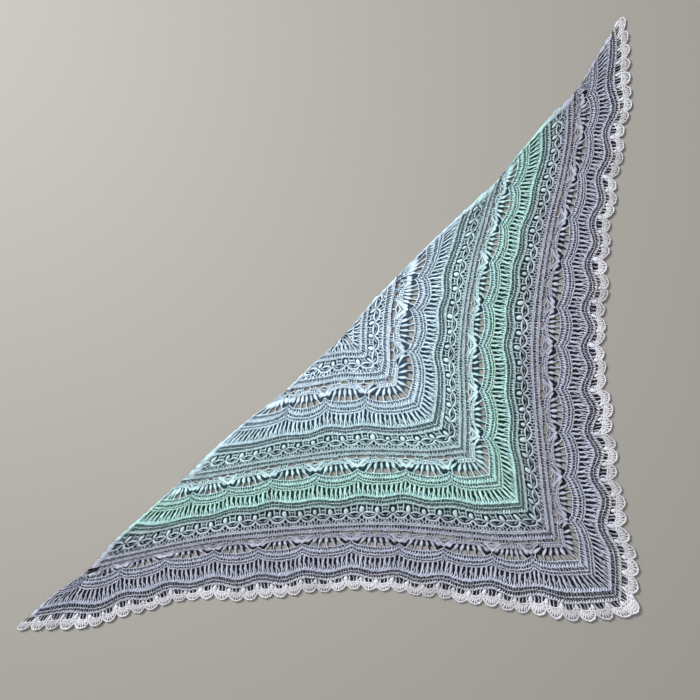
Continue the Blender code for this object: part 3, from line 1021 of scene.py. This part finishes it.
def add_node(tree, kind, inputs=None, **settings):
    """A new shader node with its settings and the values of its inputs."""
    node = tree.nodes.new("ShaderNode" + kind)
    for key, value in settings.items():
        setattr(node, key, value)
    for key, value in (inputs or {}).items():
        node.inputs[key].default_value = value
    return node


def wire(tree, *pairs):
    """Links each output to the input that stands beside it."""
    for output, entry in pairs:
        tree.links.new(output, entry)


def gradient_group(settings):
    """Node group: colour of the yarn and of the painted shade in its gaps at a row height."""
    group = bpy.data.node_groups.get("Shawl gradient")
    if group:
        return group
    group = bpy.data.node_groups.new("Shawl gradient", "ShaderNodeTree")
    out = group.nodes.new("NodeGroupOutput")
    height = add_node(group, "Attribute", attribute_name="row_height")
    position = add_node(group, "TexCoord")
    patches = add_node(group, "TexNoise", {"Scale": 22, "Detail": 2})
    shift = add_node(group, "Math", {1: PATCH_SHIFT}, operation="MULTIPLY_ADD")
    moved = add_node(group, "Math", {1: PATCH_SHIFT / 2}, operation="SUBTRACT")
    share = add_node(group, "MapRange", {"From Max": FULL_HEIGHT})
    wire(group,
         (position.outputs["Object"], patches.inputs["Vector"]),
         (patches.outputs["Fac"], shift.inputs[0]),
         (height.outputs["Fac"], shift.inputs[2]),
         (shift.outputs[0], moved.inputs[0]),
         (moved.outputs[0], share.inputs["Value"]))
    for name, stops in (("Yarn", settings.yarn_stops()), ("Gap", settings.painted_shade_stops())):
        group.interface.new_socket(name=name, in_out="OUTPUT", socket_type="NodeSocketColor")
        ramp = add_node(group, "ValToRGB")
        elements = ramp.color_ramp.elements
        while len(elements) < len(stops):
            elements.new(0.5)
        for element, (row_height, colour) in zip(elements, stops):
            element.position = row_height / FULL_HEIGHT
            element.color = (*colour, 1)
        wire(group, (share.outputs["Result"], ramp.inputs["Fac"]), (ramp.outputs["Color"], out.inputs[name]))
    return group


def twist_group():
    """Node group: plied twist and soft fuzz of the yarn as a height, and the same value as a shade: painted
    shade in the twist's grooves, with the fuzz's random tone.
    """
    group = bpy.data.node_groups.get("Yarn twist")
    if group:
        return group
    group = bpy.data.node_groups.new("Yarn twist", "ShaderNodeTree")
    scale = group.interface.new_socket(name="Ply", in_out="INPUT", socket_type="NodeSocketFloat")
    scale.default_value = 620.0
    for name in ("Shade", "Height"):
        group.interface.new_socket(name=name, in_out="OUTPUT", socket_type="NodeSocketFloat")
    entry = group.nodes.new("NodeGroupInput")
    out = group.nodes.new("NodeGroupOutput")
    position = add_node(group, "TexCoord")
    turn = add_node(group, "Mapping", {"Rotation": (0, 0, math.radians(72))})
    ply = add_node(group, "TexWave", {"Distortion": 1.5, "Detail": 1})
    fuzz = add_node(group, "TexNoise", {"Scale": 1300, "Detail": 2})
    both = add_node(group, "Math", {1: 0.6}, operation="MULTIPLY_ADD")
    wire(group,
         (position.outputs["Object"], turn.inputs["Vector"]),
         (turn.outputs["Vector"], ply.inputs["Vector"]),
         (entry.outputs["Ply"], ply.inputs["Scale"]),
         (position.outputs["Object"], fuzz.inputs["Vector"]),
         (ply.outputs["Fac"], both.inputs[0]),
         (fuzz.outputs["Fac"], both.inputs[2]),
         (both.outputs[0], out.inputs["Height"]),
         (both.outputs[0], out.inputs["Shade"]))
    return group


def matt_material(name, settings, bump_inputs):
    """A material with the gradient and the twist in it: the material, its shader and their nodes."""
    material = bpy.data.materials.new(name)
    material.use_nodes = True
    tree = material.node_tree
    shader = tree.nodes["Principled BSDF"]
    gradient = add_node(tree, "Group", node_tree=gradient_group(settings))
    twist = add_node(tree, "Group", node_tree=twist_group())
    bump = add_node(tree, "Bump", bump_inputs)
    wire(tree,
         (twist.outputs["Height"], bump.inputs["Height"]),
         (bump.outputs["Normal"], shader.inputs["Normal"]))
    return material, shader, gradient, twist


def yarn_material(settings, slot, sheen):
    """Soft matt plied yarn in the gradient's colours, with painted shade mixed in where a strand goes down
    towards the floor.
    """
    name = slot + "_yarn"
    found = bpy.data.materials.get(name)
    if found:
        return found
    material, shader, gradient, twist = matt_material(name, settings, {"Strength": 0.35, "Distance": 0.0006})
    shader.inputs["Roughness"].default_value = 0.85
    shader.inputs["Specular IOR Level"].default_value = 0.25
    shader.inputs["Sheen Weight"].default_value = sheen
    shader.inputs["Sheen Roughness"].default_value = 0.5
    tree = material.node_tree
    tint = add_node(tree, "Attribute", attribute_name="tint")
    top = add_node(tree, "Attribute", attribute_name="top")
    # Painted shade: the colour turns towards the dark gap colour where a point of a stitch lies low
    deep = add_node(tree, "MapRange", {"From Min": 0.0018, "From Max": 0.0039})
    mix = add_node(tree, "Mix", data_type="RGBA")
    shade = add_node(tree, "MapRange", {"To Min": 0.82, "To Max": 1.14})
    # Painted shade of the plied twist: the yarn is darker where the twist's height is low, besides the bump;
    # the fuzz part is random tone
    ply_painted_shade = add_node(
        tree, "MapRange", {"From Min": 0.3, "From Max": 1.3, "To Min": 0.72, "To Max": 1.16})
    product = add_node(tree, "Math", operation="MULTIPLY")
    colour = add_node(tree, "Mix", {"Factor": 1.0}, data_type="RGBA", blend_type="MULTIPLY")
    wire(tree,
         (top.outputs["Fac"], deep.inputs["Value"]),
         (deep.outputs["Result"], mix.inputs["Factor"]),
         (gradient.outputs["Gap"], mix.inputs[6]),
         (gradient.outputs["Yarn"], mix.inputs[7]),
         (tint.outputs["Fac"], shade.inputs["Value"]),
         (twist.outputs["Shade"], ply_painted_shade.inputs["Value"]),
         (shade.outputs["Result"], product.inputs[0]),
         (ply_painted_shade.outputs["Result"], product.inputs[1]),
         (mix.outputs[2], colour.inputs[6]),
         (product.outputs[0], colour.inputs[7]),
         (colour.outputs[2], shader.inputs["Base Color"]))
    return material


def make_painted_shade_material(settings):
    """Painted shade for the ground sheet: the dark gap colour, the yarn's colour as it looks in deep shade,
    with faint dots of the yarn colour for the stitches.
    """
    material, shader, gradient, _ = matt_material(
        "painted_shade_sheet_material", settings, {"Strength": 0.5, "Distance": 0.001})
    shader.inputs["Roughness"].default_value = 0.95
    shader.inputs["Specular IOR Level"].default_value = 0.1
    tree = material.node_tree
    position = add_node(tree, "TexCoord")
    dots = add_node(tree, "TexVoronoi", {"Scale": 300})
    share = add_node(
        tree, "MapRange", {"From Min": 0.55, "From Max": 0.15, "To Min": 0.0, "To Max": 0.10})
    mix = add_node(tree, "Mix", data_type="RGBA")
    wire(tree,
         (position.outputs["Object"], dots.inputs["Vector"]),
         (dots.outputs["Distance"], share.inputs["Value"]),
         (share.outputs["Result"], mix.inputs["Factor"]),
         (gradient.outputs["Gap"], mix.inputs[6]),
         (gradient.outputs["Yarn"], mix.inputs[7]),
         (mix.outputs[2], shader.inputs["Base Color"]))
    return material


# Settings and operators


def colour_property(name, description, rgb):
    """A colour setting with a screen colour from 0 to 255 as its default."""
    return bpy.props.FloatVectorProperty(
        name=name, description=description, subtype="COLOR", min=0, max=1, default=linear(*rgb))


class ShawlColours(bpy.types.PropertyGroup):
    """Colours of the gradient, from the neck to the edging, and the painted shade colours of its gaps."""
    icy: colour_property("Icy white", "Yarn at the neck", (220, 241, 255))
    sky: colour_property("Pale sky", "Yarn of the first arcs", (212, 236, 252))
    aqua: colour_property("Pale aqua", "Yarn of the first bobbles", (208, 238, 244))
    mint: colour_property("Mint", "Yarn of the second arcs", (198, 242, 240))
    deep_mint: colour_property("Deep mint", "Yarn of the second tall stitches", (186, 230, 220))
    grey_aqua: colour_property("Grey aqua", "Yarn of the second bobbles", (184, 208, 214))
    grey_lilac: colour_property("Grey lilac", "Yarn of the third fans", (179, 183, 199))
    blue_lilac: colour_property("Blue lilac", "Yarn of the third arcs", (196, 202, 222))
    off_white: colour_property("Off white", "Yarn of the edging", (204, 204, 210))
    # Painted shade: dark colours of the yarn in shade, for the gaps between the stitches and the low sides
    # of the strands
    icy_painted_shade: colour_property("Gaps in icy white", "Shaded gaps at the neck", (46, 66, 86))
    aqua_painted_shade: colour_property("Gaps in aqua", "Shaded gaps in the first repeat", (24, 50, 60))
    mint_painted_shade: colour_property("Gaps in mint", "Shaded gaps in the second tall stitches", (12, 42, 36))
    lilac_painted_shade: colour_property("Gaps in lilac", "Shaded gaps in the third repeat", (16, 18, 28))
    white_painted_shade: colour_property("Gaps in the edging", "Shaded gaps in the edging", (108, 108, 114))

    def yarn_stops(self):
        """Row heights with the colour of the yarn there."""
        return (
            (0.000, self.icy), (0.120, self.icy), (0.165, self.sky), (0.215, self.aqua),
            (0.262, self.grey_aqua), (0.285, self.aqua), (0.322, self.mint), (0.345, self.deep_mint),
            (0.374, self.mint), (0.392, self.grey_aqua), (0.440, self.grey_lilac),
            (0.470, self.grey_lilac), (0.503, self.blue_lilac), (0.525, self.grey_lilac),
            (0.555, self.blue_lilac), (0.585, self.off_white),
        )

    def painted_shade_stops(self):
        """Row heights with the colour of the painted shade in the gaps there."""
        return (
            (0.000, self.icy_painted_shade), (0.120, self.icy_painted_shade), (0.190, self.aqua_painted_shade), (0.310, self.aqua_painted_shade),
            (0.350, self.mint_painted_shade), (0.385, self.mint_painted_shade), (0.430, self.lilac_painted_shade), (0.584, self.lilac_painted_shade),
            (0.592, self.white_painted_shade),
        )


class ShawlSizes(bpy.types.PropertyGroup):
    """Sizes that may be changed."""
    scallops: bpy.props.IntProperty(
        name="Scallops", description="Shells on each side of the edging", default=41, min=10, max=80)
    # Thickness of the ground sheet of painted shade under the stitches
    ground: bpy.props.FloatProperty(
        name="Ground thickness", description="Thickness of the cloth under the stitches",
        default=0.0009, min=0.0004, max=0.003, subtype="DISTANCE", unit="LENGTH")
    sheen: bpy.props.FloatProperty(
        name="Sheen", description="Soft fibre sheen of the yarn",
        default=0.25, min=0, max=1, subtype="FACTOR")
    flat_width: bpy.props.FloatProperty(
        name="Wingspan", description="Width of the shawl laid flat",
        default=2.0, subtype="DISTANCE", unit="LENGTH")
    flat_depth: bpy.props.FloatProperty(
        name="Depth", description="Depth of the shawl laid flat",
        default=0.93, subtype="DISTANCE", unit="LENGTH")
    cloth_area: bpy.props.FloatProperty(
        name="Cloth area", description="Area of the cloth in square metres",
        default=0.73, subtype="NONE")


# Stitch shapes and bands, made when they are first needed
_shapes = {}
_bands = {}


def stitch_shapes():
    """The stitch shapes, modelled when they are first needed."""
    if not _shapes:
        _shapes.update(make_shapes())
    return _shapes


def bands():
    """The bands of rows of each wing."""
    if not _bands:
        for side, _ in WINGS:
            _bands[side] = {number: Band(side, number) for number in BAND_HEIGHTS}
    return _bands


def build_wings(context, node, slot, number, lay):
    """A yarn piece for each wing, in place of that wing's solid."""
    for side, wing in WINGS:
        yarn = Yarn(bands()[side][number])
        lay(yarn, stitch_shapes())
        piece = yarn.finish(node + "_" + wing + "_yarn")
        piece.data.materials.append(
            yarn_material(context.scene.shawl_colours, slot, context.scene.shawl_sizes.sheen))
        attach(piece, "root")
        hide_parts(node + "_" + wing)


class SHAWL_OT_centre(bpy.types.Operator):
    """Stitches of the first part at the neck"""
    bl_idname = "shawl.centre"
    bl_label = "Centre"

    def execute(self, context):
        build_wings(context, "centre", "wool_centre", 0, lay_centre)
        return {"FINISHED"}


class SHAWL_OT_first_repeat(bpy.types.Operator):
    """Stitches of the first repeat"""
    bl_idname = "shawl.first_repeat"
    bl_label = "First repeat"

    def execute(self, context):
        build_wings(context, "first_repeat", "wool_first_repeat", 1, lay_repeat)
        return {"FINISHED"}


class SHAWL_OT_second_repeat(bpy.types.Operator):
    """Stitches of the second repeat"""
    bl_idname = "shawl.second_repeat"
    bl_label = "Second repeat"

    def execute(self, context):
        build_wings(context, "second_repeat", "wool_second_repeat", 2, lay_repeat)
        return {"FINISHED"}


class SHAWL_OT_third_repeat(bpy.types.Operator):
    """Stitches of the third repeat"""
    bl_idname = "shawl.third_repeat"
    bl_label = "Third repeat"

    def execute(self, context):
        build_wings(context, "third_repeat", "wool_third_repeat", 3, lay_repeat)
        return {"FINISHED"}


class SHAWL_OT_edging(bpy.types.Operator):
    """Bobbles and shells of the edging"""
    bl_idname = "shawl.edging"
    bl_label = "Edging"

    def execute(self, context):
        scallops = context.scene.shawl_sizes.scallops
        build_wings(context, "edging", "wool_edging", 4,
                    lambda yarn, shapes: lay_edging(yarn, shapes, scallops))
        return {"FINISHED"}


class SHAWL_OT_ground(bpy.types.Operator):
    """Thin ground sheet under the stitches, coloured as painted shade for the gaps between them"""
    bl_idname = "shawl.ground"
    # The ground is a sheet of painted shade under the stitches
    bl_label = "Ground cloth"

    def execute(self, context):
        sizes = context.scene.shawl_sizes
        ground = build_painted_shade_sheet(bands(), sizes.scallops, sizes.ground)
        ground.data.materials.append(make_painted_shade_material(context.scene.shawl_colours))
        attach(ground, "root")
        return {"FINISHED"}


class SHAWL_OT_stage(bpy.types.Operator):
    """Plain floor, soft light and camera"""
    bl_idname = "shawl.stage"
    bl_label = "Stage"

    def execute(self, context):
        select_only()
        bpy.ops.mesh.primitive_plane_add(size=14, location=(0, 0, -0.0004))
        floor = context.object
        floor.name = "floor"
        material = bpy.data.materials.new("pale_floor")
        material.use_nodes = True
        shader = material.node_tree.nodes["Principled BSDF"]
        shader.inputs["Base Color"].default_value = (*linear(144, 141, 135), 1)
        shader.inputs["Roughness"].default_value = 0.7
        floor.data.materials.append(material)
        bpy.ops.object.transform_apply(location=True, rotation=True, scale=True)
        world = bpy.data.worlds.new("soft room")
        world.use_nodes = True
        background = world.node_tree.nodes["Background"]
        background.inputs["Color"].default_value = (1, 1, 1, 1)
        background.inputs["Strength"].default_value = 0.28
        context.scene.world = world
        # Area lights: name, place, power in watts, size in metres
        for name, location, power, size in (
                ("window", (-0.3, 4.2, 3.8), 360, 1.4), ("ceiling", (-0.2, 0.5, 2.7), 26, 1.2)):
            bpy.ops.object.light_add(type="AREA", location=location)
            light = context.object
            light.name = name
            light.data.energy = power
            light.data.size = size
            light.rotation_euler = (-Vector(location)).to_track_quat("-Z", "Y").to_euler()
        # Camera 1.49 m above the floor, looking almost straight down
        bpy.ops.object.camera_add(
            location=(-0.07558, 0.07356, 1.49291),
            rotation=[math.radians(angle) for angle in (9.187, 6.303, -45.319)])
        camera = context.object
        camera.data.sensor_width = 36
        camera.data.lens = 36 * 660 / 700
        context.scene.camera = camera
        context.scene.view_settings.view_transform = "Standard"
        return {"FINISHED"}


class SHAWL_PT_panel(bpy.types.Panel):
    """Sizes, colours and building steps of the shawl"""
    bl_idname = "SHAWL_PT_panel"
    bl_label = "Crochet Shawl"
    bl_space_type = "VIEW_3D"
    bl_region_type = "UI"
    bl_category = "Shawl"

    def draw(self, context):
        for owner in (context.scene.shawl_sizes, context.scene.shawl_colours):
            for key in owner.__annotations__:
                self.layout.prop(owner, key)
        for operator in OPERATORS:
            self.layout.operator(operator.bl_idname)


OPERATORS = (
    SHAWL_OT_centre, SHAWL_OT_first_repeat, SHAWL_OT_second_repeat, SHAWL_OT_third_repeat,
    SHAWL_OT_edging, SHAWL_OT_ground, SHAWL_OT_stage,
)
CLASSES = (ShawlColours, ShawlSizes) + OPERATORS + (SHAWL_PT_panel,)


def register():
    for item in CLASSES:
        bpy.utils.register_class(item)
    bpy.types.Scene.shawl_colours = bpy.props.PointerProperty(type=ShawlColours)
    bpy.types.Scene.shawl_sizes = bpy.props.PointerProperty(type=ShawlSizes)


def unregister():
    del bpy.types.Scene.shawl_sizes
    del bpy.types.Scene.shawl_colours
    for item in reversed(CLASSES):
        bpy.utils.unregister_class(item)


def main():
    register()
    bpy.ops.shawl.centre()
    bpy.ops.shawl.first_repeat()
    bpy.ops.shawl.second_repeat()
    bpy.ops.shawl.third_repeat()
    bpy.ops.shawl.edging()
    bpy.ops.shawl.ground()
    bpy.ops.shawl.stage()


if __name__ == "__main__":
    main()
